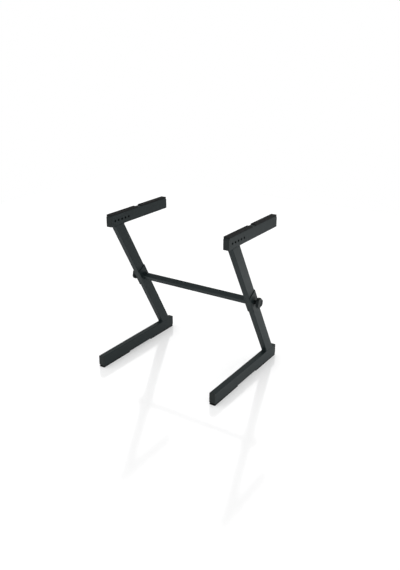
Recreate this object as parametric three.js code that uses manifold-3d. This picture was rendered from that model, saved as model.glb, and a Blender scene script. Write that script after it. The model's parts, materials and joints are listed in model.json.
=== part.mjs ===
// A Z-shaped stand for a stage keyboard, in millimetres.
// X runs across the stand, -Y faces the player and +Z is up.
// The origin is on the floor, midway between the side frames and midway along the feet.
import * as THREE from 'three';
import { mergeVertices } from 'three/addons/utils/BufferGeometryUtils.js';
import Module from 'manifold-3d';

const wasm = await Module();
wasm.setup();

// Whole stand
const legSpacing = 583; // from the middle of one leg to the middle of the other
const restHeight = 683.5; // from the floor to the rubber that carries the keyboard
const lean = THREE.MathUtils.degToRad(29.3); // of the legs, from upright towards the player

// Clearances
const seatGap = 0.3; // between pieces that rest on each other
const cutOverrun = 2; // how far a cutting solid reaches past the face that it cuts

// Steel tube of the feet, legs and arms
const tubeWidth = 26.5;
const tubeDepth = 50;
const tubeWall = 1.5;
const tubeCorner = 2.2;

// Foot and arm, each a level length of that tube
const footLength = 532;
const footTail = 29.5; // past the leg's rear face
const armLength = 400;
const armNose = 28; // past the leg's front face

// Row of holes at the front of each arm, for a second tier or a stop
const holeCount = 5;
const holeRadius = 5.1;
const holeFirst = 27; // from the arm's front end
const holePitch = 22.8;
const holeHeight = 23; // above the arm's underside

// Plastic cap in each open tube end
const capHead = 6;
const capSlopeRun = 5;
const capSlopeRise = 9;
const capPlugLength = 12;
const capPlugWall = 2;
const capPlugFit = 0.4;

// Rubber strip under each end of a foot and on each end of an arm
const padThickness = 3.7;
const footPadLength = 185;
const padSetback = 1; // from the face of the cap
const armPadSpace = 28; // between the two strips of an arm
const padSideInset = 0.2;
const padSlopeRun = 1.2;
const padTailSlopeRun = 1.5;

// Weld beads
const weldLeg = 6;
const barWeldLeg = 3.5;

// Crossbar, a square tube turned with the legs
const barSize = 25;
const barWall = 1.5;
const barCorner = 2.5;
const barAlongLeg = 394; // from the floor, measured along the leg

// Bracket bent from plate, welded to each end of the crossbar
const bracketHeight = 96;
const bracketPlate = 3;
const bracketFit = 0.4;
const bracketBend = 5;
const bracketCorner = 6;

// Clamp bolt, with its nut, washer and the spacer inside the leg
const boltRadius = 4;
const boltHoleRadius = 4.5;
const boltTipChamfer = 1;
const boltTipReach = 1; // past the nut
const boltHeadRadius = 7;
const boltHeadLength = 6;
const nutAcrossFlats = 13;
const nutThickness = 6.5;
const nutSides = 6;
const nutBoreRadius = 4.3;
const washerRadius = 10;
const washerThickness = 1.6;
const spacerRadius = 7;

// Three-lobed knob moulded round the bolt's head
const knobHubRadius = 8;
const knobHubLength = 11;
const knobMeanRadius = 22.3;
const knobLobeRise = 2; // of a lobe above the mean, and of a hollow below it
const knobLobeFlatness = 0.8; // makes the lobes broad and the hollows narrow
const knobLobes = 3;
const knobLobeAngle = THREE.MathUtils.degToRad(-14); // of one lobe, from the rear towards the top
const knobThickness = 13;
const knobEdge = 2.5;
const knobDishRadius = 12;
const knobDishDepth = 1.5;

// Smoothness of round forms
const cornerSegments = 4;
const roundSegments = 32;
const lobeSegments = 72;
const edgeSegments = 3;
const beadBulgeShare = 0.68;

// Values worked out from those above
const upright = new THREE.Vector2(-Math.sin(lean), Math.cos(lean)); // up along a leg, in Y and Z
const legHalfRun = tubeDepth / 2 / Math.cos(lean); // half the leg's depth, measured level
const footUnderside = padThickness + seatGap;
const footTop = footUnderside + tubeDepth;
const armTop = restHeight - padThickness - seatGap;
const armUnderside = armTop - tubeDepth;
const legBaseY = footLength / 2 - footTail - legHalfRun + footTop * Math.tan(lean);
const armFrontY = legBaseY - armUnderside * Math.tan(lean) - legHalfRun - armNose;
const clampY = legBaseY + barAlongLeg * upright.x;
const clampZ = barAlongLeg * upright.y;
const flangeInner = tubeWidth / 2 + bracketFit;
const flangeOuter = flangeInner + bracketPlate;
const barLength = legSpacing - 2 * (flangeOuter + seatGap);
const tubeInnerWidth = tubeWidth - 2 * tubeWall;
const tubeInnerDepth = tubeDepth - 2 * tubeWall;
const armPadLength = (armLength - 2 * padSetback - armPadSpace) / 2;

// Finishes
function finish(color, roughness, metalness) {
  return () => new THREE.MeshStandardMaterial({ color, roughness, metalness });
}
const powderCoat = finish(0x3a3f40, 0.55, 0.1);
const cappingPlastic = finish(0x1e2021, 0.6, 0);
const rubber = finish(0x131414, 0.9, 0);
const knobPlastic = finish(0x1b1d1d, 0.5, 0);
const blackZinc = finish(0x2b2d2f, 0.4, 1);

// Solids: from a geometry, and back to one
function solid(geometry) {
  const bare = geometry.index ? geometry.toNonIndexed() : geometry.clone();
  bare.deleteAttribute('normal');
  bare.deleteAttribute('uv');
  const merged = mergeVertices(bare);
  return new wasm.Manifold(new wasm.Mesh({
    numProp: 3,
    vertProperties: new Float32Array(merged.attributes.position.array),
    triVerts: new Uint32Array(merged.index.array),
  }));
}

function geometryOf(manifold) {
  const mesh = manifold.getMesh();
  const geometry = new THREE.BufferGeometry();
  geometry.setAttribute('position', new THREE.BufferAttribute(mesh.vertProperties, mesh.numProp));
  geometry.setIndex(new THREE.BufferAttribute(mesh.triVerts, 1));
  geometry.computeVertexNormals();
  return geometry;
}

// Outlines
function roundedRectangle(width, depth, radius, Outline = THREE.Shape) {
  const x = width / 2 - radius;
  const y = depth / 2 - radius;
  const outline = new Outline();
  outline.absarc(x, y, radius, 0, Math.PI / 2);
  outline.absarc(-x, y, radius, Math.PI / 2, Math.PI);
  outline.absarc(-x, -y, radius, Math.PI, 1.5 * Math.PI);
  outline.absarc(x, -y, radius, 1.5 * Math.PI, 2 * Math.PI);
  outline.closePath();
  return outline;
}

function tubeSection(width, depth, corner, wall, innerCorner = corner - wall) {
  const section = roundedRectangle(width, depth, corner);
  section.holes.push(roundedRectangle(width - 2 * wall, depth - 2 * wall, innerCorner, THREE.Path));
  return section;
}

function steelTubeSection() {
  return tubeSection(tubeWidth, tubeDepth, tubeCorner, tubeWall);
}

function polygon(points) {
  return new THREE.Shape(points.map(([x, y]) => new THREE.Vector2(x, y)));
}

// Extrusions: upwards from an outline in X and Y, back along Y from one in X and Z,
// and across X from one in Y and Z, with its middle at X = 0
function extrudeUp(outline, length) {
  return new THREE.ExtrudeGeometry(outline, {
    depth: length, bevelEnabled: false, curveSegments: cornerSegments,
  });
}

function extrudeBack(outline, length) {
  return extrudeUp(outline, length).rotateX(-Math.PI / 2);
}

function extrudeAcross(outline, width) {
  const turn = new THREE.Matrix4().makeBasis(
    new THREE.Vector3(0, 1, 0), new THREE.Vector3(0, 0, 1), new THREE.Vector3(1, 0, 0));
  return extrudeUp(outline, width).applyMatrix4(turn).translate(-width / 2, 0, 0);
}

// Turned pieces, from [radius, height] points, with their axis along Z
function turned(points) {
  const profile = points.map(([radius, height]) => new THREE.Vector2(radius, height));
  return new THREE.LatheGeometry(profile, roundSegments).rotateX(Math.PI / 2);
}

function rod(radius, from, to) {
  return turned([[0, from], [radius, from], [radius, to], [0, to]]);
}

function ring(outer, inner, from, to) {
  return turned([[inner, from], [outer, from], [outer, to], [inner, to], [inner, from]]);
}

// A hole along X, through everything within the given half-length
function crossHole(radius, y, z, halfLength) {
  return solid(rod(radius, -halfLength, halfLength).rotateY(Math.PI / 2).translate(0, y, z));
}

// Tubes
function levelTube(length) {
  return extrudeBack(steelTubeSection(), length);
}

function armTube() {
  let arm = solid(levelTube(armLength - 2 * capHead));
  for (let i = 0; i < holeCount; i += 1) {
    const y = holeFirst + i * holePitch - capHead;
    const z = holeHeight - tubeDepth / 2;
    arm = arm.subtract(crossHole(holeRadius, y, z, tubeWidth / 2 + cutOverrun));
  }
  return geometryOf(arm);
}

// The leg's section is stretched and sheared, so that both ends are cut level
function legTube() {
  const bottom = footTop + seatGap;
  const geometry = extrudeUp(steelTubeSection(), armUnderside - seatGap - bottom);
  const shear = new THREE.Matrix4().set(
    1, 0, 0, 0, 0, 1, -Math.tan(lean), 0, 0, 0, 1, 0, 0, 0, 0, 1);
  geometry.scale(1, 1 / Math.cos(lean), 1).translate(0, 0, bottom).applyMatrix4(shear);
  const boltHole = crossHole(boltHoleRadius, clampY - legBaseY, clampZ, tubeWidth / 2 + cutOverrun);
  return geometryOf(solid(geometry).subtract(boltHole));
}

// End cap: its head fills Y from 0 to capHead, with the sloped edge on top and the plug behind
function endCap() {
  const top = tubeDepth / 2;
  const head = extrudeBack(roundedRectangle(tubeWidth, tubeDepth, tubeCorner), capHead);
  const slope = polygon([
    [-cutOverrun, top - capSlopeRise - cutOverrun * capSlopeRise / capSlopeRun],
    [capSlopeRun + cutOverrun, top + cutOverrun * capSlopeRise / capSlopeRun],
    [-cutOverrun, top + cutOverrun * capSlopeRise / capSlopeRun],
  ]);
  const plugCorner = tubeCorner - tubeWall;
  const plugSection = tubeSection(
    tubeInnerWidth - 2 * capPlugFit, tubeInnerDepth - 2 * capPlugFit, plugCorner, capPlugWall, plugCorner);
  const plug = extrudeBack(plugSection, capPlugLength + capHead / 2).translate(0, capHead / 2, 0);
  return geometryOf(solid(head)
    .subtract(solid(extrudeAcross(slope, tubeWidth + 2 * cutOverrun)))
    .add(solid(plug)));
}

// Rubber strip: it lies on Z = 0, runs along +Y from the cap, and slopes down at both ends
function padStrip(length) {
  const outline = polygon([
    [0, 0], [length, 0], [length - padTailSlopeRun, padThickness], [padSlopeRun, padThickness],
  ]);
  return extrudeAcross(outline, tubeWidth - 2 * padSideInset);
}

// Fillet weld in the corner between two faces that leave it along directions a and b
function weldBead(corner, a, b) {
  const away = (alongA, alongB) => corner.clone().addScaledVector(a, alongA).addScaledVector(b, alongB);
  const shift = seatGap / Math.sin(a.angleTo(b));
  const root = away(shift, shift);
  const start = away(shift + weldLeg, shift);
  const bulge = away(shift + weldLeg * beadBulgeShare, shift + weldLeg * beadBulgeShare);
  const end = away(shift, shift + weldLeg);
  const outline = new THREE.Shape();
  outline.moveTo(root.x, root.y);
  outline.lineTo(start.x, start.y);
  outline.quadraticCurveTo(bulge.x, bulge.y, end.x, end.y);
  outline.closePath();
  return extrudeAcross(outline, tubeWidth - 2 * tubeCorner);
}

// The four beads of a side frame: each of the leg's ends, in front and behind
function weldBeads() {
  const legY = (z) => -z * Math.tan(lean);
  const forward = new THREE.Vector2(-1, 0);
  const rearward = new THREE.Vector2(1, 0);
  const down = upright.clone().negate();
  const corner = (z, reach) => new THREE.Vector2(legY(z) + reach, z);
  return {
    foot_front_weld: weldBead(corner(footTop, -legHalfRun), forward, upright),
    foot_rear_weld: weldBead(corner(footTop, legHalfRun), rearward, upright),
    arm_front_weld: weldBead(corner(armUnderside, -legHalfRun), forward, down),
    arm_rear_weld: weldBead(corner(armUnderside, legHalfRun), rearward, down),
  };
}

// Bracket: a U round the leg's rear, with the flanges' front corners rounded and the bolt hole across
function bracketSection() {
  const front = -tubeDepth / 2;
  const rearInner = tubeDepth / 2 + bracketFit;
  const rearOuter = rearInner + bracketPlate;
  const innerBend = bracketBend - bracketPlate;
  const section = new THREE.Shape();
  section.moveTo(flangeOuter, front);
  section.absarc(flangeOuter - bracketBend, rearOuter - bracketBend, bracketBend, 0, Math.PI / 2);
  section.absarc(bracketBend - flangeOuter, rearOuter - bracketBend, bracketBend, Math.PI / 2, Math.PI);
  section.lineTo(-flangeOuter, front);
  section.lineTo(-flangeInner, front);
  section.absarc(innerBend - flangeInner, rearInner - innerBend, innerBend, Math.PI, Math.PI / 2, true);
  section.absarc(flangeInner - innerBend, rearInner - innerBend, innerBend, Math.PI / 2, 0, true);
  section.lineTo(flangeInner, front);
  section.closePath();
  return section;
}

function bracketSideOutline() {
  const front = -tubeDepth / 2;
  const rear = tubeDepth / 2 + bracketFit + bracketPlate + cutOverrun;
  const half = bracketHeight / 2;
  const outline = new THREE.Shape();
  outline.moveTo(rear, -half);
  outline.lineTo(rear, half);
  outline.absarc(front + bracketCorner, half - bracketCorner, bracketCorner, Math.PI / 2, Math.PI);
  outline.absarc(front + bracketCorner, bracketCorner - half, bracketCorner, Math.PI, 1.5 * Math.PI);
  outline.closePath();
  return outline;
}

function clampBracket() {
  const channel = extrudeUp(bracketSection(), bracketHeight).translate(0, 0, -bracketHeight / 2);
  const trim = extrudeAcross(bracketSideOutline(), 2 * (flangeOuter + cutOverrun));
  return geometryOf(solid(channel)
    .intersect(solid(trim))
    .subtract(crossHole(boltHoleRadius, 0, 0, flangeOuter + cutOverrun)));
}

// Crossbar, and the fillet weld round its end: wide at the bracket, on Z = 0, and narrow at its top
function crossbarTube() {
  return extrudeAcross(tubeSection(barSize, barSize, barCorner, barWall), barLength);
}

function barWeld() {
  const inner = barSize + 2 * seatGap;
  const loop = (size, radius, z) => roundedRectangle(size, size, radius)
    .getPoints(cornerSegments).slice(0, -1).map((p) => [p.x, p.y, z]);
  const foot = seatGap;
  const head = seatGap + barWeldLeg;
  const toe = inner + 2 * barWeldLeg;
  return ringOfLoops([
    loop(inner, barCorner + seatGap, foot),
    loop(toe, barCorner + seatGap + barWeldLeg, foot),
    loop(inner + barWeldLeg / 2, barCorner + seatGap + barWeldLeg / 4, head),
    loop(inner, barCorner + seatGap, head),
  ]);
}

// Joins loops of equal length into one closed ring, the last loop back to the first
function ringOfLoops(loops) {
  const count = loops[0].length;
  const positions = loops.flat(2);
  const index = [];
  loops.forEach((_, k) => {
    const here = k * count;
    const there = ((k + 1) % loops.length) * count;
    for (let i = 0; i < count; i += 1) {
      const j = (i + 1) % count;
      index.push(here + i, here + j, there + j, here + i, there + j, there + i);
    }
  });
  const geometry = new THREE.BufferGeometry();
  geometry.setAttribute('position', new THREE.Float32BufferAttribute(positions, 3));
  geometry.setIndex(index);
  return geometryOf(solid(geometry));
}

// Clamp pieces, turned about Z: zero is the leg's middle plane and +Z points out of the stand
const washerFrom = flangeOuter + seatGap;
const hubFrom = washerFrom + washerThickness + seatGap;
const knobFrom = hubFrom + knobHubLength;
const knobTo = knobFrom + knobThickness;
const boltHeadTo = knobFrom + knobThickness / 2;
const boltHeadFrom = boltHeadTo - boltHeadLength;
const nutFrom = flangeOuter + seatGap;
const boltTip = -(nutFrom + nutThickness + boltTipReach);

function clampBolt() {
  return turned([
    [0, boltTip], [boltRadius - boltTipChamfer, boltTip], [boltRadius, boltTip + boltTipChamfer],
    [boltRadius, boltHeadFrom], [boltHeadRadius, boltHeadFrom],
    [boltHeadRadius, boltHeadTo], [0, boltHeadTo],
  ]);
}

function clampNut() {
  const corners = [];
  for (let i = 0; i < nutSides; i += 1) {
    const angle = (2 * i + 1) * Math.PI / nutSides;
    const radius = nutAcrossFlats / 2 / Math.cos(Math.PI / nutSides);
    corners.push([radius * Math.cos(angle), radius * Math.sin(angle)]);
  }
  const body = extrudeUp(polygon(corners), nutThickness).translate(0, 0, -nutFrom - nutThickness);
  const bore = rod(nutBoreRadius, -nutFrom - nutThickness - cutOverrun, -nutFrom + cutOverrun);
  return geometryOf(solid(body).subtract(solid(bore)));
}

function lobedOutline() {
  const points = [];
  for (let i = 0; i < lobeSegments; i += 1) {
    const angle = 2 * Math.PI * i / lobeSegments;
    const wave = knobLobes * angle;
    const lobes = knobLobeRise * Math.cos(wave) - knobLobeFlatness * Math.cos(2 * wave);
    const radius = knobMeanRadius - knobEdge + lobes;
    points.push([radius * Math.cos(angle), radius * Math.sin(angle)]);
  }
  return polygon(points);
}

function clampKnob() {
  const head = new THREE.ExtrudeGeometry(lobedOutline(), {
    depth: knobThickness - 2 * knobEdge, bevelThickness: knobEdge, bevelSize: knobEdge,
    bevelSegments: edgeSegments,
  }).translate(0, 0, knobFrom + knobEdge);
  const hub = rod(knobHubRadius, hubFrom, knobFrom + knobThickness / 2);
  const bore = rod(boltRadius + seatGap, hubFrom - cutOverrun, boltHeadFrom);
  const pocket = rod(boltHeadRadius + seatGap, boltHeadFrom - seatGap, boltHeadTo + seatGap);
  const dish = turned([
    [0, knobTo - knobDishDepth], [knobDishRadius - knobDishDepth, knobTo - knobDishDepth],
    [knobDishRadius + cutOverrun, knobTo + cutOverrun], [0, knobTo + cutOverrun],
  ]);
  const body = solid(head).add(solid(hub));
  return geometryOf(body.subtract(solid(bore)).subtract(solid(pocket)).subtract(solid(dish)));
}

// Assembly
const stand = new THREE.Group();

function group(parent, position, rotation = [0, 0, 0]) {
  const made = new THREE.Group();
  made.position.set(...position);
  made.rotation.set(...rotation);
  parent.add(made);
  return made;
}

function place(parent, name, geometry, material, position = [0, 0, 0], rotation = [0, 0, 0]) {
  const mesh = new THREE.Mesh(geometry, material());
  mesh.name = name;
  mesh.position.set(...position);
  mesh.rotation.set(...rotation);
  parent.add(mesh);
}

// Caps and pads of one level tube, whose front end is at frontY. The pads lie on top of an arm and
// under a foot, where upsideDown turns the caps and pads over.
function addEnds(side, prefix, frontY, length, middleZ, padZ, padLength, upsideDown) {
  const roll = upsideDown ? Math.PI : 0;
  const rearY = frontY + length;
  const ends = [['front', frontY, frontY + padSetback, 0], ['rear', rearY, rearY - padSetback, Math.PI]];
  for (const [end, capY, padY, turn] of ends) {
    place(side, `${prefix}_${end}_cap`, endCap(), cappingPlastic, [0, capY, middleZ], [0, roll, turn]);
    place(side, `${prefix}_${end}_pad`, padStrip(padLength), rubber, [0, padY, padZ], [0, roll, turn]);
  }
}

function addSideFrame(name, sign) {
  const side = group(stand, [sign * legSpacing / 2, 0, 0]);
  const footMiddle = footUnderside + tubeDepth / 2;
  const armMiddle = armUnderside + tubeDepth / 2;
  const footFront = -footLength / 2;
  const footTube = levelTube(footLength - 2 * capHead);
  place(side, `${name}_foot_tube`, footTube, powderCoat, [0, footFront + capHead, footMiddle]);
  place(side, `${name}_leg_tube`, legTube(), powderCoat, [0, legBaseY, 0]);
  place(side, `${name}_arm_tube`, armTube(), powderCoat, [0, armFrontY + capHead, armMiddle]);
  addEnds(side, `${name}_foot`, footFront, footLength, footMiddle, padThickness, footPadLength, true);
  addEnds(side, `${name}_arm`, armFrontY, armLength, armMiddle, armTop + seatGap, armPadLength, false);
  for (const [weldName, geometry] of Object.entries(weldBeads())) {
    place(side, `${name}_${weldName}`, geometry, powderCoat, [0, legBaseY, 0]);
  }
}

// The clamp on one leg. Its turned pieces lie on an axis along X that points out of the stand.
function addClamp(name, sign) {
  const clamp = group(stand, [sign * legSpacing / 2, clampY, clampZ], [lean, 0, 0]);
  place(clamp, `${name}_clamp_bracket`, clampBracket(), powderCoat);
  const axis = group(clamp, [0, 0, 0], [0, sign * Math.PI / 2, 0]);
  const spacerHalf = tubeInnerWidth / 2 - seatGap;
  const spacer = ring(spacerRadius, boltHoleRadius, -spacerHalf, spacerHalf);
  const washer = ring(washerRadius, boltHoleRadius, washerFrom, washerFrom + washerThickness);
  const knobTurn = Math.PI / 2 + sign * (knobLobeAngle - lean);
  place(axis, `${name}_bar_weld`, barWeld(), powderCoat, [0, 0, -flangeOuter], [Math.PI, 0, 0]);
  place(axis, `${name}_leg_spacer`, spacer, blackZinc);
  place(axis, `${name}_weld_nut`, clampNut(), blackZinc);
  place(axis, `${name}_clamp_bolt`, clampBolt(), blackZinc);
  place(axis, `${name}_washer`, washer, blackZinc);
  place(axis, `${name}_knob`, clampKnob(), knobPlastic, [0, 0, 0], [0, 0, knobTurn]);
}

for (const [name, sign] of [['left', -1], ['right', 1]]) {
  addSideFrame(name, sign);
  addClamp(name, sign);
}
place(stand, 'crossbar', crossbarTube(), powderCoat, [0, clampY, clampZ], [lean, 0, 0]);

export default stand;
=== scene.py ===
# %% [markdown]
# # A Z-shaped keyboard stand
# The stand is two welded side frames of flat steel tube, each a foot, a leaning leg and an arm, with a
# square crossbar clamped between them. The solid model comes in first, as a fixed frame at its real size.
# The pieces below are modelled over it, one kind after another, and each takes its place from the frame.

# %% Load the frame
import json
import math

import bmesh
import bpy
from mathutils import Matrix, Vector


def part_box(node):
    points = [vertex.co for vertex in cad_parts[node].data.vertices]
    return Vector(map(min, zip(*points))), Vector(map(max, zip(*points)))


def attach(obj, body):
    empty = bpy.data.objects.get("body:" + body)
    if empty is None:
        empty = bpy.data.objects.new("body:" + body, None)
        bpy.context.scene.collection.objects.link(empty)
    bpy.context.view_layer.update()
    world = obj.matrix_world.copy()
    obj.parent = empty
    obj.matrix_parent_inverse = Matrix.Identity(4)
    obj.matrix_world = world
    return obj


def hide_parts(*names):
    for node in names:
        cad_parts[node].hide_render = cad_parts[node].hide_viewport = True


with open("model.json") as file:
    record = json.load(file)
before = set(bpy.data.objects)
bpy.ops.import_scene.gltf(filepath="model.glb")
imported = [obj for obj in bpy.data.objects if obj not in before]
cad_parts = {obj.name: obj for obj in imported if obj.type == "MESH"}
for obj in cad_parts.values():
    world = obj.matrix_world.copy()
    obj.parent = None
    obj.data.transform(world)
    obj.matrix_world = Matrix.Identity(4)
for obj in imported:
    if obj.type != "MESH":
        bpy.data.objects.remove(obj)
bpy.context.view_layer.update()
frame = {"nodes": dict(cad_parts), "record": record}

# %% [markdown]
# ## Sizes
# Blender works in metres and a metal shop works in millimetres, so one constant turns one into the other.
# Overall places are read from the frame. Only what the frame's boxes don't tell, such as a wall or a
# rounding, is written here, with the same values as in the solid model.

# %% Sizes and sides
MM = 0.001
LEAN = math.radians(29.3)  # of the legs, from upright towards the player
TUBE_WIDTH = 26.5 * MM
TUBE_DEPTH = 50 * MM
TUBE_WALL = 1.5 * MM
TUBE_CORNER = 2.2 * MM
CORNER_STEPS = 6
GAP = 0.3 * MM  # between pieces that touch
SIDES = {"left": -1, "right": 1}


def middle(node):
    """The middle of a node's box."""
    low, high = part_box(node)
    return (low + high) / 2


def clamp_frame(side):
    """The matrix that takes a piece modelled round an upright leg to the clamp of a leaning leg."""
    axis = middle(f"{side}_washer")
    axis.x = middle(f"{side}_leg_tube").x
    return Matrix.Translation(axis) @ Matrix.Rotation(LEAN, 4, "X")


# %% [markdown]
# ## Ways of working
# Every piece starts as one of Blender's primitives and is shaped in edit mode. The operators act on what is
# selected, so each step first picks its faces or edges by their place or direction. These few helpers keep
# that short. A finished piece has its place in its mesh and its own origin at zero, rides on a body of the
# frame, and stands for the plain node that it covers.


# %% Helpers for pieces
def applied():
    """Put the active piece's place, turn and scale into its mesh, and return it."""
    bpy.ops.object.transform_apply(location=True, rotation=True, scale=True)
    return bpy.context.object


def add_block(low, high, turn=(0, 0, 0)):
    """A cube primitive that fills the box from low to high, then turned about its middle."""
    bpy.ops.object.select_all(action="DESELECT")
    low, high = Vector(low), Vector(high)
    bpy.ops.mesh.primitive_cube_add(size=1, location=(low + high) / 2, rotation=turn, scale=high - low)
    return applied()


def add_rod(radius, start, end, steps=48):
    """A cylinder primitive between two points."""
    bpy.ops.object.select_all(action="DESELECT")
    start, end = Vector(start), Vector(end)
    turn = (end - start).to_track_quat("Z", "Y").to_euler()
    bpy.ops.mesh.primitive_cylinder_add(
        vertices=steps, radius=radius, depth=(end - start).length, location=(start + end) / 2, rotation=turn)
    return applied()


def edit(piece):
    """Go into edit mode on one piece alone."""
    bpy.ops.object.select_all(action="DESELECT")
    piece.select_set(True)
    bpy.context.view_layer.objects.active = piece
    bpy.ops.object.mode_set(mode="EDIT")


def leave():
    """Go back to object mode."""
    bpy.ops.object.mode_set(mode="OBJECT")


def pick(piece, kind, test):
    """In edit mode, select the vertices, edges or faces that pass the test, and nothing else."""
    bpy.ops.mesh.select_mode(type=kind)
    bpy.ops.mesh.select_all(action="DESELECT")
    mesh = bmesh.from_edit_mesh(piece.data)
    for item in {"VERT": mesh.verts, "EDGE": mesh.edges, "FACE": mesh.faces}[kind]:
        if test(item):
            item.select_set(True)
    mesh.select_flush_mode()
    bmesh.update_edit_mesh(piece.data)


def along(direction):
    """A test for edges that run along a direction."""
    unit = Vector(direction).normalized()
    return lambda edge: abs((edge.verts[1].co - edge.verts[0].co).normalized().dot(unit)) > 0.999


def facing(direction, share=0.99):
    """A test for faces that face a direction."""
    unit = Vector(direction).normalized()
    return lambda face: face.normal.dot(unit) > share


def centre_of(edge):
    """The middle of an edge."""
    return (edge.verts[0].co + edge.verts[1].co) / 2


def modify(piece, kind, **settings):
    """Add a modifier with its settings and apply it."""
    bpy.ops.object.select_all(action="DESELECT")
    piece.select_set(True)
    bpy.context.view_layer.objects.active = piece
    bpy.ops.object.modifier_add(type=kind)
    modifier = piece.modifiers[-1]
    for name, value in settings.items():
        setattr(modifier, name, value)
    bpy.ops.object.modifier_apply(modifier=modifier.name)


def slice_off(point, outward):
    """In edit mode, cut away what lies beyond a plane, and close it. The plane faces outward at a point."""
    bpy.ops.mesh.select_all(action="SELECT")
    bpy.ops.mesh.bisect(
        plane_co=point, plane_no=Vector(outward).normalized(), clear_outer=True, use_fill=True)


def soften(piece, width, steps=3, angle=30):
    """Round every edge that is sharper than an angle."""
    modify(piece, "BEVEL", width=width, segments=steps, limit_method="ANGLE", angle_limit=math.radians(angle))


def cut_away(piece, tool):
    """Take one piece's space out of another, and throw the cutting piece away."""
    modify(piece, "BOOLEAN", operation="DIFFERENCE", solver="EXACT", object=tool)
    bpy.data.objects.remove(tool)


def join(pieces):
    """Join several pieces into one."""
    bpy.ops.object.select_all(action="DESELECT")
    for piece in pieces:
        piece.select_set(True)
    bpy.context.view_layer.objects.active = pieces[0]
    bpy.ops.object.join()
    return bpy.context.object


def copied(piece, matrix):
    """A copy with a mesh of its own, moved and turned by a matrix."""
    twin = piece.copy()
    twin.data = piece.data.copy()
    twin.data.transform(matrix)
    bpy.context.collection.objects.link(twin)
    return twin


def finish_piece(piece, node, body="frame", smooth=35):
    """Name a piece after the node that it stands for, smooth its shading and set it on its body."""
    bpy.ops.object.select_all(action="DESELECT")
    piece.select_set(True)
    bpy.context.view_layer.objects.active = piece
    bpy.ops.object.shade_smooth_by_angle(angle=math.radians(smooth))
    modify(piece, "WEIGHTED_NORMAL", weight=100, keep_sharp=True)
    piece.name = piece.data.name = f"{node}_piece"
    slot = next(s["material_slot"] for s in frame["record"]["subparts"] if s["node"] == node)
    piece.data.materials.clear()
    piece.data.materials.append(MATERIALS[slot])
    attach(piece, body)
    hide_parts(node)
    print(piece.name, len(piece.data.polygons), "faces")


# %% [markdown]
# ## Finishes
# Each finish is a Principled shader with patterns from Blender's noise textures, read from Object
# coordinates so that they stay on the piece. The patterns' sizes come from the real surface: a texture that
# repeats every few millimetres gets a scale of one over that length.


# %% Helpers for materials
def linear(code):
    """An sRGB hex colour in linear light."""
    parts = [int(code[i:i + 2], 16) / 255 for i in (1, 3, 5)]
    return [p / 12.92 if p <= 0.04045 else ((p + 0.055) / 1.055) ** 2.4 for p in parts] + [1.0]


def add(material, kind, inputs, **settings):
    """Add a node. Settings are its properties, and inputs give each socket a value or the output it reads."""
    node = material.node_tree.nodes.new(kind)
    for name, value in settings.items():
        setattr(node, name, value)
    for name, value in inputs.items():
        if isinstance(value, bpy.types.NodeSocket):
            material.node_tree.links.new(value, node.inputs[name])
        else:
            node.inputs[name].default_value = value
    return node


def per(length):
    """The texture scale that repeats once in a length."""
    return 1 / length


def new_material(name):
    """An empty node material and its Object coordinates."""
    material = bpy.data.materials.new(name)
    material.use_nodes = True
    material.node_tree.nodes.clear()
    return material, add(material, "ShaderNodeTexCoord", {}).outputs["Object"]


def close_material(material, shader):
    """Send a shader to the material's output."""
    add(material, "ShaderNodeOutputMaterial", {"Surface": shader.outputs["BSDF"]})
    return material


# %% [markdown]
# ### Black powder coat
# Polyester powder is sprayed on dry and melted in an oven. It flows into a satin skin with a fine grain of
# about a millimetre and a slower waviness, the orange peel, of about a centimetre. The colour drifts by a
# few percent where the coat is thicker. Real grain is finer than a pixel here, so it is drawn a little
# coarser and mostly widens the highlights.


# %% Powder coat
def powder_coat():
    """Satin black polyester powder coat, oven cured on steel."""
    material, place = new_material("black_polyester_powder_coat")
    drift = add(material, "ShaderNodeTexNoise", {"Vector": place, "Scale": per(45 * MM), "Detail": 3.0})
    tone = add(material, "ShaderNodeMix", {
        "Factor": drift.outputs["Fac"], "A": linear("#171f20"), "B": linear("#1d2627")}, data_type="RGBA")
    peel = add(material, "ShaderNodeTexNoise", {"Vector": place, "Scale": per(7 * MM), "Detail": 1.0})
    grain = add(material, "ShaderNodeTexNoise", {"Vector": place, "Scale": per(1.1 * MM), "Detail": 2.0})
    wavy = add(material, "ShaderNodeBump", {
        "Height": peel.outputs["Fac"], "Strength": 0.25, "Distance": 0.12 * MM})
    rough = add(material, "ShaderNodeBump", {
        "Height": grain.outputs["Fac"], "Normal": wavy.outputs["Normal"], "Strength": 0.5,
        "Distance": 0.05 * MM})
    gloss = add(material, "ShaderNodeMapRange", {
        "Value": grain.outputs["Fac"], "To Min": 0.4, "To Max": 0.56})
    return close_material(material, add(material, "ShaderNodeBsdfPrincipled", {
        "Base Color": tone.outputs["Result"], "Roughness": gloss.outputs["Result"],
        "Normal": rough.outputs["Normal"], "IOR": 1.5, "Specular IOR Level": 0.13}))


# %% [markdown]
# ### Moulded plastic and rubber
# The caps are soft polyethylene and the knobs glass-filled nylon, both injection moulded in a spark-eroded
# steel mould, which leaves a fine even matt grain. The strips are extruded rubber: blacker, and matt enough
# that almost no highlight shows.


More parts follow.
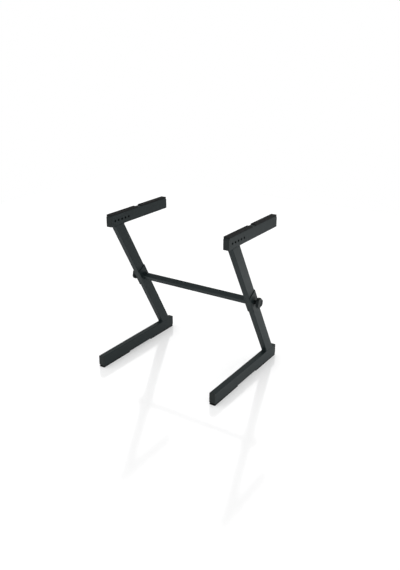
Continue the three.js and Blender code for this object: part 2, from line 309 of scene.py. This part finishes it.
# %% Plastic and rubber
def moulded(name, dark, light, grain_size, roughness, bump, shine=0.17):
    """A moulded black plastic or rubber: an even grain, and a colour that hardly varies."""
    material, place = new_material(name)
    drift = add(material, "ShaderNodeTexNoise", {"Vector": place, "Scale": per(18 * MM), "Detail": 2.0})
    tone = add(material, "ShaderNodeMix", {
        "Factor": drift.outputs["Fac"], "A": linear(dark), "B": linear(light)}, data_type="RGBA")
    grain = add(material, "ShaderNodeTexNoise", {"Vector": place, "Scale": per(grain_size), "Detail": 2.0})
    relief = add(material, "ShaderNodeBump", {
        "Height": grain.outputs["Fac"], "Strength": bump, "Distance": grain_size / 10})
    gloss = add(material, "ShaderNodeMapRange", {
        "Value": grain.outputs["Fac"], "To Min": roughness - 0.06, "To Max": roughness + 0.06})
    return close_material(material, add(material, "ShaderNodeBsdfPrincipled", {
        "Base Color": tone.outputs["Result"], "Roughness": gloss.outputs["Result"],
        "Normal": relief.outputs["Normal"], "IOR": 1.5, "Specular IOR Level": shine}))


# %% [markdown]
# ### Black zinc
# The bolt, nut, washer and sleeve are turned or stamped steel, plated with zinc and then blackened in a
# passivating bath. The metal's shine comes through the thin black film, and more so where it was rubbed.


# %% Black zinc
def black_zinc():
    """Steel with black passivated zinc plating."""
    material, place = new_material("black_zinc_plated_steel")
    cloud = add(material, "ShaderNodeTexNoise", {"Vector": place, "Scale": per(3 * MM), "Detail": 4.0})
    tone = add(material, "ShaderNodeMix", {
        "Factor": cloud.outputs["Fac"], "A": linear("#1f2123"), "B": linear("#34373a")}, data_type="RGBA")
    gloss = add(material, "ShaderNodeMapRange", {
        "Value": cloud.outputs["Fac"], "To Min": 0.3, "To Max": 0.5})
    return close_material(material, add(material, "ShaderNodeBsdfPrincipled", {
        "Base Color": tone.outputs["Result"], "Roughness": gloss.outputs["Result"], "Metallic": 1.0}))


COAT = powder_coat()
MATERIALS = {
    "powder_coat": COAT,
    "coated_weld": COAT,
    "cap_plastic": moulded("matt_black_polyethylene", "#131919", "#181f1f", 0.9 * MM, 0.5, 0.4),
    "pad_rubber": moulded("black_extruded_rubber", "#0e0f0f", "#131414", 1.3 * MM, 0.72, 0.6),
    "knob_plastic": moulded("black_glass_filled_nylon", "#0a1213", "#0e1617", 0.8 * MM, 0.45, 0.35, 0.12),
    "black_zinc_steel": black_zinc(),
}
for node in frame["record"]["subparts"]:
    cad = frame["nodes"][node["node"]]
    cad.data.materials.clear()
    cad.data.materials.append(MATERIALS[node["material_slot"]])
print("materials:", sorted(MATERIALS))

# %% [markdown]
# ## Steel tubes
# Flat-sided tube is rolled from strip, so its long corners are rounded while its faces stay flat. A cube is
# stretched to the tube's length and its four long edges are bevelled. The two end faces are deleted and a
# Solidify modifier gives the wall, inwards, as a real tube is measured over its outside.


# %% Tube helper
def tube(low, high, axis, corner=TUBE_CORNER, wall=TUBE_WALL, turn=(0, 0, 0)):
    """A tube that fills a box, open at both ends of an axis, then turned about its middle."""
    piece = add_block(low, high, turn)
    direction = Vector(axis)
    direction.rotate(Matrix.Rotation(turn[0], 3, "X"))
    edit(piece)
    pick(piece, "EDGE", along(direction))
    bpy.ops.mesh.bevel(offset=corner, segments=CORNER_STEPS, affect="EDGES")
    pick(piece, "FACE", lambda face: abs(face.normal.dot(direction)) > 0.99)
    bpy.ops.mesh.delete(type="FACE")
    leave()
    modify(piece, "SOLIDIFY", thickness=wall, offset=-1, use_even_offset=True)
    return piece


# %% Feet
for side in SIDES:
    finish_piece(tube(*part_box(f"{side}_foot_tube"), axis=(0, 1, 0)), f"{side}_foot_tube")

# %% [markdown]
# ### Legs
# A leg leans, but both its ends are sawn level, to sit on the foot and under the arm. So the tube is made
# too long, turned, and then cut by two level planes. Bisect needs everything selected, and clears what lies
# beyond the plane.

# %% Legs
for side in SIDES:
    low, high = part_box(f"{side}_leg_tube")
    centre = (low + high) / 2
    reach = Vector((TUBE_WIDTH, TUBE_DEPTH, (high.z - low.z) / math.cos(LEAN) + 2 * TUBE_DEPTH)) / 2
    leg = tube(centre - reach, centre + reach, axis=(0, 0, 1), turn=(LEAN, 0, 0))
    edit(leg)
    slice_off((0, 0, low.z), (0, 0, -1))
    slice_off((0, 0, high.z), (0, 0, 1))
    leave()
    finish_piece(leg, f"{side}_leg_tube")

# %% [markdown]
# ### Arms
# An arm is a tube with a row of five plain drilled holes near its front end, through both walls, for a front
# stop or a second tier. A rod is modelled for the first hole, copied along the row and taken out of the tube
# by a Boolean modifier. The coat rounds the rims of the holes, so a small bevel follows.

# %% Arms
HOLE_RADIUS = 5.1 * MM
HOLE_COUNT = 5
HOLE_PITCH = 22.8 * MM
HOLE_FIRST = Vector((0, 27, 23)) * MM  # behind the front cap's face and above the arm's underside
RIM = 0.35 * MM

for side in SIDES:
    low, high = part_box(f"{side}_arm_tube")
    arm = tube(low, high, axis=(0, 1, 0))
    first = Vector((middle(f"{side}_arm_tube").x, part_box(f"{side}_arm_front_cap")[0].y, low.z)) + HOLE_FIRST
    through = Vector((TUBE_WIDTH, 0, 0))
    drill = add_rod(HOLE_RADIUS, first - through, first + through, steps=40)
    row = [copied(drill, Matrix.Translation((0, HOLE_PITCH * i, 0))) for i in range(1, HOLE_COUNT)]
    cut_away(arm, join([drill] + row))
    soften(arm, RIM, steps=2, angle=50)
    finish_piece(arm, f"{side}_arm_tube")

# %% [markdown]
# ### Crossbar
# The crossbar is a smaller, square tube. It is clamped at right angles to the legs, so it is turned by their
# lean about its own length, and the camera sees its upper front face and its underside's soft corner.

# %% Crossbar
BAR_SIZE = 25 * MM
BAR_CORNER = 2.5 * MM
BAR_WALL = 1.5 * MM

low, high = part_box("crossbar")
centre = (low + high) / 2
reach = Vector((high.x - low.x, BAR_SIZE, BAR_SIZE)) / 2
finish_piece(
    tube(centre - reach, centre + reach, axis=(1, 0, 0), corner=BAR_CORNER, wall=BAR_WALL, turn=(LEAN, 0, 0)),
    "crossbar")

# %% [markdown]
# ## End caps
# Each open tube end is closed by a moulded cap. Its head has the tube's own outline, with a slope across one
# edge, and behind it a hollow plug holds it in the tube. One cap is modelled with its face at Y zero. The
# slope is a bisect with its cut filled. The plug is a short open tube of its own, made like the steel ones,
# that starts inside the head.

# %% Model one cap
CAP_HEAD = 6 * MM
CAP_SLOPE_RUN = 5 * MM
CAP_SLOPE_RISE = 9 * MM
PLUG_LENGTH = 12 * MM
PLUG_WALL = 2 * MM
PLUG_FIT = 0.4 * MM
PLUG_CORNER = 0.7 * MM
PLUG_ROOT = 0.9 * MM  # of the plug inside the head
CAP_EDGE = 0.7 * MM
SLOPE_EDGE = 0.2 * MM


def end_cap():
    """One cap, its head from Y zero back to the tube, the slope at its top."""
    half = Vector((TUBE_WIDTH, 0, TUBE_DEPTH)) / 2
    cap = add_block(-half, half + Vector((0, CAP_HEAD, 0)))
    edit(cap)
    pick(cap, "EDGE", along((0, 1, 0)))
    bpy.ops.mesh.bevel(offset=TUBE_CORNER, segments=CORNER_STEPS, affect="EDGES")
    leave()
    soften(cap, CAP_EDGE)
    edit(cap)
    slice_off((0, 0, half.z - CAP_SLOPE_RISE), (0, -CAP_SLOPE_RISE, CAP_SLOPE_RUN))
    slope = facing((0, -CAP_SLOPE_RISE, CAP_SLOPE_RUN), 0.999)
    pick(cap, "EDGE", lambda edge: any(slope(face) for face in edge.link_faces))
    bpy.ops.mesh.bevel(offset=SLOPE_EDGE, segments=2, affect="EDGES", clamp_overlap=True)
    leave()
    space = half - Vector((1, 0, 1)) * (TUBE_WALL + PLUG_FIT)
    plug = tube(
        -space + Vector((0, CAP_HEAD - PLUG_ROOT, 0)), space + Vector((0, CAP_HEAD + PLUG_LENGTH, 0)),
        axis=(0, 1, 0), corner=PLUG_CORNER, wall=PLUG_WALL)
    soften(plug, CAP_EDGE / 2, steps=1, angle=50)
    return join([cap, plug])


# %% [markdown]
# ## Rubber strips
# Strips of rubber lie on the arms and below the feet, two to a tube. A strip reaches over the cap nearly to
# its face, and both its ends slope a little. It starts as a block on Z zero and both slopes are bisected off
# it. The grip that such strips have is four shallow grooves along it: bisects mark their sides, and the faces
# between are extruded down. Its edges are then slightly rounded.

# %% Model one strip
STRIP_THICKNESS = 3.7 * MM
STRIP_INSET = 0.2 * MM
STRIP_SLOPE = 1.2 * MM
STRIP_TAIL = 1.5 * MM
STRIP_EDGE = 0.6 * MM
STRIP_GROOVES = 4
GROOVE_DEPTH = 0.6 * MM
GROOVE_SHARE = 0.4  # of the width of one rib and its groove


def rubber_strip(length):
    """One strip on Z zero, from Y zero back, its steep end in front."""
    half_width = TUBE_WIDTH / 2 - STRIP_INSET
    strip = add_block((-half_width, 0, 0), (half_width, length, STRIP_THICKNESS))
    edit(strip)
    slice_off((0, 0, 0), (0, -STRIP_THICKNESS, STRIP_SLOPE))
    slice_off((0, length, 0), (0, STRIP_THICKNESS, STRIP_TAIL))
    pitch = 2 * half_width / STRIP_GROOVES
    for i in range(STRIP_GROOVES):
        for share in (-GROOVE_SHARE, GROOVE_SHARE):
            line = -half_width + (i + 0.5 + share / 2) * pitch
            bpy.ops.mesh.select_all(action="SELECT")
            bpy.ops.mesh.bisect(plane_co=(line, 0, 0), plane_no=(1, 0, 0))
    pick(strip, "FACE", lambda face: face.normal.z > 0.99 and abs(
        ((face.calc_center_median().x + half_width) / pitch) % 1 - 0.5) < 0.1)
    bpy.ops.mesh.extrude_region_move(TRANSFORM_OT_translate={"value": (0, 0, -GROOVE_DEPTH)})
    leave()
    soften(strip, STRIP_EDGE / 2, steps=2, angle=25)
    return strip


# %% [markdown]
# ## Set the caps and strips
# Both ends of each foot and arm take copies of the same two pieces. A copy is turned half round Z for the
# rear end, and half round Y for a foot, where the strips and the caps' slopes face the floor.

# %% Copy the caps and strips
cap = end_cap()
strip_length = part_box("left_foot_front_pad")[1].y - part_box("left_foot_front_pad")[0].y
strip = rubber_strip(strip_length)

for side in SIDES:
    for member, roll in (("foot", math.pi), ("arm", 0)):
        for end, turn in (("front", 0), ("rear", math.pi)):
            turned = Matrix.Rotation(roll, 4, "Y") @ Matrix.Rotation(turn, 4, "Z")
            node = f"{side}_{member}_{end}_cap"
            face = middle(node)
            face.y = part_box(node)[0 if end == "front" else 1].y
            finish_piece(copied(cap, Matrix.Translation(face) @ turned), node)
            node = f"{side}_{member}_{end}_pad"
            seat = middle(node)
            seat.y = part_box(node)[0 if end == "front" else 1].y
            seat.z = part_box(node)[1 if member == "foot" else 0].z
            finish_piece(copied(strip, Matrix.Translation(seat) @ turned), node)
bpy.data.objects.remove(cap)
bpy.data.objects.remove(strip)

# %% [markdown]
# ## Welds
# A weld bead is a row of small pools that froze one on the other. Each pool is a squashed sphere, set a bit
# more than two millimetres along from the last. The row is joined, a voxel Remesh melts it into one skin,
# and a bisect trims it to each of the two faces that it joins.

# %% Weld helpers
POOL_PITCH = 2.4 * MM
POOL_WIDTH = 2.3 * MM
POOL_RADIUS = 5.4 * MM
WELD_VOXEL = 0.45 * MM


def pool(place, radii, turn=(0, 0, 0)):
    """One frozen pool of a bead."""
    bpy.ops.object.select_all(action="DESELECT")
    bpy.ops.mesh.primitive_uv_sphere_add(
        segments=20, ring_count=12, radius=1, location=place, rotation=turn, scale=radii)
    return applied()


def melted(pools, voxel):
    """The pools as one skin."""
    bead = join(pools)
    modify(bead, "REMESH", mode="VOXEL", voxel_size=voxel)
    modify(bead, "SMOOTH", factor=0.4, iterations=2)
    return bead


def trimmed(piece, planes):
    """The piece with what lies beyond each plane cut away."""
    edit(piece)
    for point, outward in planes:
        slice_off(point, outward)
    leave()
    return piece


# %% [markdown]
# ### Beads at the legs' ends
# Each leg end has a bead in front and behind. The four corners differ, two sharp and two wide, so each is
# trimmed to its own leg face and to the foot's top or the arm's underside.

# %% Leg beads
HALF_RUN = TUBE_DEPTH / 2 / math.cos(LEAN)
ACROSS_LEG = Vector((0, math.cos(LEAN), math.sin(LEAN)))

for side in SIDES:
    low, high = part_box(f"{side}_leg_tube")
    base = middle(f"{side}_leg_tube")
    for member, level, out in (("foot", low.z, -1), ("arm", high.z, 1)):
        seam_y = base.y - (level - base.z) * math.tan(LEAN)
        for end, toward in (("front", -1), ("rear", 1)):
            corner = Vector((base.x, seam_y + toward * HALF_RUN, level))
            count = round((TUBE_WIDTH - 2 * TUBE_CORNER) / POOL_PITCH)
            radii = (POOL_WIDTH, POOL_RADIUS, POOL_RADIUS)
            places = [corner + Vector(((i - (count - 1) / 2) * POOL_PITCH, 0, 0)) for i in range(count)]
            pools = [pool(place, radii) for place in places]
            bead = trimmed(melted(pools, WELD_VOXEL), (
                (corner, (0, 0, out)), (corner, -toward * ACROSS_LEG)))
            finish_piece(bead, f"{side}_{member}_{end}_weld", smooth=60)

# %% [markdown]
# ## Clamp brackets
# Each crossbar end carries a U bent from 3 mm plate, which wraps the leg's rear and both sides. It is
# modelled round an upright leg at the origin and then leaned. A block gets its two rear edges bevelled for
# the bends, loses its front, top and bottom faces, and Solidify gives it the plate's thickness. The front
# corners are rounded by a second bevel, and the bolt hole is drilled across.

# %% Model the bracket
BRACKET_HEIGHT = 96 * MM
PLATE = 3 * MM
BRACKET_FIT = 0.4 * MM
BEND = 5 * MM
FRONT_CORNER = 6 * MM
BOLT_HOLE = 4.5 * MM
PLATE_EDGE = 0.4 * MM
FLANGE = TUBE_WIDTH / 2 + BRACKET_FIT + PLATE
BRACKET_REAR = TUBE_DEPTH / 2 + BRACKET_FIT + PLATE


def clamp_bracket():
    """The bracket round an upright leg."""
    low = Vector((-FLANGE, -TUBE_DEPTH / 2, -BRACKET_HEIGHT / 2))
    high = Vector((FLANGE, BRACKET_REAR, BRACKET_HEIGHT / 2))
    bracket = add_block(low, high)
    upright = along((0, 0, 1))
    edit(bracket)
    pick(bracket, "EDGE", lambda edge: upright(edge) and centre_of(edge).y > 0)
    bpy.ops.mesh.bevel(offset=BEND, segments=8, affect="EDGES")
    pick(bracket, "FACE", lambda face: face.normal.y < -0.99 or abs(face.normal.z) > 0.99)
    bpy.ops.mesh.delete(type="FACE")
    leave()
    modify(bracket, "SOLIDIFY", thickness=PLATE, offset=-1, use_even_offset=True)
    across = along((1, 0, 0))
    edit(bracket)
    pick(bracket, "EDGE", lambda edge: across(edge) and centre_of(edge).y < low.y + PLATE / 2)
    bpy.ops.mesh.bevel(offset=FRONT_CORNER, segments=8, affect="EDGES")
    leave()
    cut_away(bracket, add_rod(BOLT_HOLE, (-2 * FLANGE, 0, 0), (2 * FLANGE, 0, 0)))
    soften(bracket, PLATE_EDGE, steps=2, angle=50)
    return bracket


bracket = clamp_bracket()
for side in SIDES:
    finish_piece(copied(bracket, clamp_frame(side)), f"{side}_clamp_bracket")
bpy.data.objects.remove(bracket)

# %% [markdown]
# ### Beads at the crossbar's ends
# A bead runs right round each end of the crossbar, where it meets the bracket's inner flange. Its pools
# follow the bar's square outline, smaller than those at the legs. One ring is made for the right side and
# turned half round for the left.

# %% Crossbar beads
RING_RADIUS = 3.3 * MM
RING_VOXEL = 0.55 * MM


def bar_bead():
    """The ring on the right bracket's inner flange, round a bar that comes from the left."""
    half = BAR_SIZE / 2
    count = round(BAR_SIZE / POOL_PITCH)
    pools = []
    for quarter in range(4):
        turn = Matrix.Rotation(quarter * math.pi / 2, 4, "X")
        for i in range(count):
            place = turn @ Vector((-FLANGE, half, -half + (i + 0.5) * BAR_SIZE / count))
            across = (RING_RADIUS, RING_RADIUS, POOL_WIDTH) if quarter % 2 == 0 else (
                RING_RADIUS, POOL_WIDTH, RING_RADIUS)
            pools.append(pool(place, across))
    ring = trimmed(melted(pools, RING_VOXEL), (((-FLANGE, 0, 0), (1, 0, 0)),))
    core = Vector((2 * RING_RADIUS, half, half))
    cut_away(ring, add_block(Vector((-FLANGE, 0, 0)) - core, Vector((-FLANGE, 0, 0)) + core))
    return ring


ring = bar_bead()
for side, sign in SIDES.items():
    facing_bar = Matrix.Rotation(0 if sign > 0 else math.pi, 4, "Z")
    finish_piece(copied(ring, clamp_frame(side) @ facing_bar), f"{side}_bar_weld", smooth=60)
bpy.data.objects.remove(ring)

# %% [markdown]
# ## Clamp knobs
# The knob is a moulded disc with three soft lobes for the fingers, on a round hub. A cylinder's columns are
# pushed out or in, each by its own transform, so that the rim runs in and out three times round. The rim is
# rounded by a bevel, the hub is added by a Boolean union, and the dish and the bore are cut. All the turned
# pieces are modelled along Z, from the leg's middle plane outwards.

# %% Model the knob
WASHER_FROM = FLANGE + GAP
WASHER_THICKNESS = 1.6 * MM
HUB_FROM = WASHER_FROM + WASHER_THICKNESS + GAP
HUB_RADIUS = 8 * MM
HUB_LENGTH = 11 * MM
KNOB_FROM = HUB_FROM + HUB_LENGTH
KNOB_THICKNESS = 13 * MM
KNOB_TO = KNOB_FROM + KNOB_THICKNESS
KNOB_RADIUS = 22.3 * MM
LOBE_RISE = 2 * MM
LOBE_FLATNESS = 0.8 * MM
LOBES = 3
KNOB_EDGE = 2.5 * MM
KNOB_LINE = 0.5 * MM  # the rounding of the hub's, the dish's and the bore's edges
DISH_RADIUS = 12 * MM
DISH_DEPTH = 1.5 * MM
DISH_FLOOR_SHARE = 0.9  # of the dish's width at its rim
BOLT_RADIUS = 4 * MM
BOLT_HEAD_RADIUS = 7 * MM
BOLT_HEAD = 6 * MM
BOLT_TIP = -24.45 * MM  # just past the nut on the bracket's inner flange
KNOB_COLUMNS = 72


def knob_disc():
    """The lobed disc alone, its rim rounded."""
    disc = add_rod(KNOB_RADIUS, (0, 0, KNOB_FROM), (0, 0, KNOB_TO), steps=KNOB_COLUMNS)
    edit(disc)
    for column in range(KNOB_COLUMNS):
        angle = 2 * math.pi * column / KNOB_COLUMNS
        outward = Vector((math.cos(angle), math.sin(angle), 0))
        pick(disc, "VERT", lambda vert: vert.co.dot(outward) > 0.999 * math.hypot(vert.co.x, vert.co.y))
        wave = LOBE_RISE * math.cos(LOBES * angle) - LOBE_FLATNESS * math.cos(2 * LOBES * angle)
        bpy.ops.transform.translate(value=outward * wave)
    leave()
    soften(disc, KNOB_EDGE, steps=6, angle=60)
    return disc


def clamp_knob():
    """The disc with its hub, dish and bore."""
    knob = knob_disc()
    hub = add_rod(HUB_RADIUS, (0, 0, HUB_FROM), (0, 0, KNOB_FROM + KNOB_THICKNESS / 2), steps=64)
    modify(knob, "BOOLEAN", operation="UNION", solver="EXACT", object=hub)
    bpy.data.objects.remove(hub)
    dish = add_rod(DISH_RADIUS, (0, 0, KNOB_TO - DISH_DEPTH), (0, 0, KNOB_TO + KNOB_EDGE), steps=64)
    edit(dish)
    pick(dish, "FACE", facing((0, 0, -1)))
    bpy.ops.transform.resize(value=(DISH_FLOOR_SHARE, DISH_FLOOR_SHARE, 1))
    leave()
    cut_away(knob, dish)
    cut_away(knob, add_rod(BOLT_RADIUS, (0, 0, 0), (0, 0, KNOB_FROM), steps=48))
    soften(knob, KNOB_LINE, steps=2, angle=40)
    return knob


# %% [markdown]
# ## Clamp bolts
# The bolt is moulded into the knob, so only its threaded shank shows, and only when the clamp is slack. An
# M8 thread climbs 1.25 mm a turn. A small plane is cut down to the outline of one thread, and a Screw
# modifier winds it up the shank. A core with a chamfered tip and the round head fills it.

# %% Model the bolt and washer
THREAD_PITCH = 1.25 * MM
THREAD_DEPTH = 0.65 * MM
THREAD_STEPS = 28
CREST_SHARE = 0.2  # of the pitch, the flat along the thread's top
TIP_CHAMFER = 0.8 * MM
HEAD_EDGE = 0.4 * MM
WASHER_RADIUS = 10 * MM
WASHER_EDGE = 0.3 * MM


def clamp_bolt():
    """The shank with its thread, and the head inside the knob."""
    bpy.ops.object.select_all(action="DESELECT")
    middle_x = BOLT_RADIUS - THREAD_PITCH / 2
    start = Vector((middle_x, 0, BOLT_TIP + 1.5 * THREAD_PITCH))
    bpy.ops.mesh.primitive_plane_add(size=THREAD_PITCH, location=start, rotation=(math.pi / 2, 0, 0))
    thread = applied()
    edit(thread)
    pick(thread, "EDGE", lambda edge: centre_of(edge).x < middle_x - THREAD_PITCH / 4)
    bpy.ops.mesh.delete(type="EDGE")
    pick(thread, "VERT", lambda vert: vert.co.x > middle_x)
    bpy.ops.transform.resize(value=(1, 1, CREST_SHARE))
    leave()
    turns = int((WASHER_FROM - BOLT_TIP) / THREAD_PITCH)
    modify(
        thread, "SCREW", axis="Z", screw_offset=THREAD_PITCH, iterations=turns, steps=THREAD_STEPS,
        render_steps=THREAD_STEPS, use_merge_vertices=True, use_normal_calculate=True)
    core = add_rod(BOLT_RADIUS - THREAD_DEPTH, (0, 0, BOLT_TIP), (0, 0, KNOB_FROM), steps=36)
    soften(core, TIP_CHAMFER, steps=1, angle=60)
    head_from = KNOB_FROM + (KNOB_THICKNESS / 2 - BOLT_HEAD)
    head = add_rod(BOLT_HEAD_RADIUS, (0, 0, head_from), (0, 0, head_from + BOLT_HEAD), steps=36)
    soften(head, HEAD_EDGE, steps=1, angle=60)
    return join([thread, core, head])


def washer():
    """The plain washer under the hub."""
    ring = add_rod(WASHER_RADIUS, (0, 0, WASHER_FROM), (0, 0, WASHER_FROM + WASHER_THICKNESS), steps=64)
    cut_away(ring, add_rod(BOLT_HOLE, (0, 0, 0), (0, 0, KNOB_FROM), steps=48))
    soften(ring, WASHER_EDGE, steps=2, angle=60)
    return ring


# %% [markdown]
# ### Set the clamps
# The clamp's axis points out of the stand on both sides. The knobs are turned so that their lobes stand as
# the solid model's do. The bolt and knob ride on the knob's body and the washer on its own, because turning
# the knob also moves the washer outwards.

# %% Copy the clamps
LOBE_ANGLE = math.radians(-14)
turned_pieces = {"knob": clamp_knob(), "clamp_bolt": clamp_bolt(), "washer": washer()}

for side, sign in SIDES.items():
    outwards = clamp_frame(side) @ Matrix.Rotation(sign * math.pi / 2, 4, "Y")
    lobe_turn = Matrix.Rotation(math.pi / 2 + sign * (LOBE_ANGLE - LEAN), 4, "Z")
    for name, piece in turned_pieces.items():
        body = f"{side}_washer" if name == "washer" else f"{side}_knob"
        finish_piece(copied(piece, outwards @ lobe_turn), f"{side}_{name}", body)
for piece in turned_pieces.values():
    bpy.data.objects.remove(piece)

# %% [markdown]
# ## Studio
# The photograph's ground is pure white, as on a lit table, and brighter than the room that the steel seems to
# mirror. Here the floor glows a little from below, and is glossy enough that the legs mirror faintly in it.
# The white backdrop is a large sphere that only the camera sees.

# %% Floor and backdrop
FLOOR_SIZE = 6.0
BACKDROP_RADIUS = 30.0


def lit_acrylic():
    """White acrylic sheet lit from below, with a polished top and the faintest mottling."""
    material, place = new_material("lit_white_acrylic")
    mottle = add(material, "ShaderNodeTexNoise", {"Vector": place, "Scale": per(600 * MM), "Detail": 2.0})
    tone = add(material, "ShaderNodeMix", {
        "Factor": mottle.outputs["Fac"], "A": linear("#eeeeee"), "B": linear("#f2f2f2")}, data_type="RGBA")
    return close_material(material, add(material, "ShaderNodeBsdfPrincipled", {
        "Base Color": tone.outputs["Result"], "Roughness": 0.1, "IOR": 2.6,
        "Emission Color": (1.0, 1.0, 1.0, 1.0), "Emission Strength": 0.3}))


def white_backdrop():
    """Plain white paper, evenly lit."""
    material, _ = new_material("white_paper")
    add(material, "ShaderNodeOutputMaterial", {"Surface": add(material, "ShaderNodeEmission", {
        "Color": (1.0, 1.0, 1.0, 1.0), "Strength": 1.0}).outputs["Emission"]})
    return material


bpy.ops.object.select_all(action="DESELECT")
bpy.ops.mesh.primitive_plane_add(size=FLOOR_SIZE)
floor = bpy.context.object
floor.name = "studio_floor"
floor.data.materials.append(lit_acrylic())

bpy.ops.object.select_all(action="DESELECT")
bpy.ops.mesh.primitive_uv_sphere_add(radius=BACKDROP_RADIUS)
backdrop = bpy.context.object
backdrop.name = "studio_backdrop"
backdrop.data.materials.append(white_backdrop())
backdrop.visible_diffuse = False
backdrop.visible_glossy = False
backdrop.visible_transmission = False
backdrop.visible_shadow = False

# %% [markdown]
# The room is pale at the walls and dim at the ceiling, so tops mirror more at a flat angle than from above.
# One soft box lies low by the right frame, so the light on that frame's outside falls off upwards. A larger
# one stands in front, and a broad soft light comes down from the ceiling. Soft boxes are area lights, with
# their power in watts, and the ceiling is a sun lamp whose large angle blurs its shadows.

# %% Lights
WALL_BRIGHTNESS = 0.83
CEILING_BRIGHTNESS = 0.2
WALL_TOP = 0.45  # sine of the angle above the horizon where the walls end
CEILING_FROM = 0.9  # and where the ceiling is at its dimmest

world = bpy.data.worlds.new("grey_room")
bpy.context.scene.world = world
world.use_nodes = True
background = world.node_tree.nodes["Background"]
background.inputs["Color"].default_value = (1.0, 1.0, 1.0, 1.0)
direction = add(world, "ShaderNodeTexCoord", {}).outputs["Generated"]
height = add(world, "ShaderNodeSeparateXYZ", {"Vector": direction}).outputs["Z"]
band = add(world, "ShaderNodeMapRange", {
    "Value": height, "From Min": WALL_TOP, "From Max": CEILING_FROM,
    "To Min": WALL_BRIGHTNESS, "To Max": CEILING_BRIGHTNESS})
world.node_tree.links.new(band.outputs["Result"], background.inputs["Strength"])
bpy.context.scene.view_settings.view_transform = "Standard"


def softbox(name, place, target, width, height, power):
    """A soft rectangular light that faces a target."""
    bpy.ops.object.light_add(type="AREA", location=place)
    light = bpy.context.object
    light.name = name
    light.rotation_euler = (Vector(target) - Vector(place)).to_track_quat("-Z", "Y").to_euler()
    light.data.shape = "RECTANGLE"
    light.data.size = width
    light.data.size_y = height
    light.data.energy = power


softbox("right_softbox", (1.1, 0.5, 0.12), target=(0.3, 0.1, 0.1), width=0.8, height=0.2, power=2.6)
softbox("front_softbox", (-1.3, -2.4, 0.7), target=(0, 0, 0.2), width=1.6, height=0.9, power=8)

CEILING_TILT = (math.radians(12), math.radians(-10), 0)
CEILING_POWER = 1.3
CEILING_SPREAD = math.radians(80)

bpy.ops.object.light_add(type="SUN", rotation=CEILING_TILT)
ceiling = bpy.context.object
ceiling.name = "ceiling_light"
ceiling.data.energy = CEILING_POWER
ceiling.data.angle = CEILING_SPREAD

# %% [markdown]
# ## Camera
# The camera's place and lens were found by fitting the stand's edges to the photograph. It looks down by
# 19 degrees from the right front. The shift moves the picture's middle to where the fit puts it.

# %% Camera
PITCH = math.radians(19.207)
YAW = math.radians(32.848)
ROLL = math.radians(0.075)
CAMERA_PLACE = (1.4901, -2.1884, 1.4079)
LENS = 40.86
SHIFT = (-0.0056, -0.0437)

forward = Vector((-math.sin(YAW) * math.cos(PITCH), math.cos(YAW) * math.cos(PITCH), -math.sin(PITCH)))
bpy.ops.object.camera_add(location=CAMERA_PLACE)
camera = bpy.context.object
aim = forward.to_track_quat("-Z", "Y").to_matrix() @ Matrix.Rotation(ROLL, 3, "Z")
camera.rotation_euler = aim.to_euler()
camera.data.lens = LENS
camera.data.shift_x, camera.data.shift_y = SHIFT
bpy.context.scene.camera = camera
print("camera at", [round(value, 3) for value in camera.location])
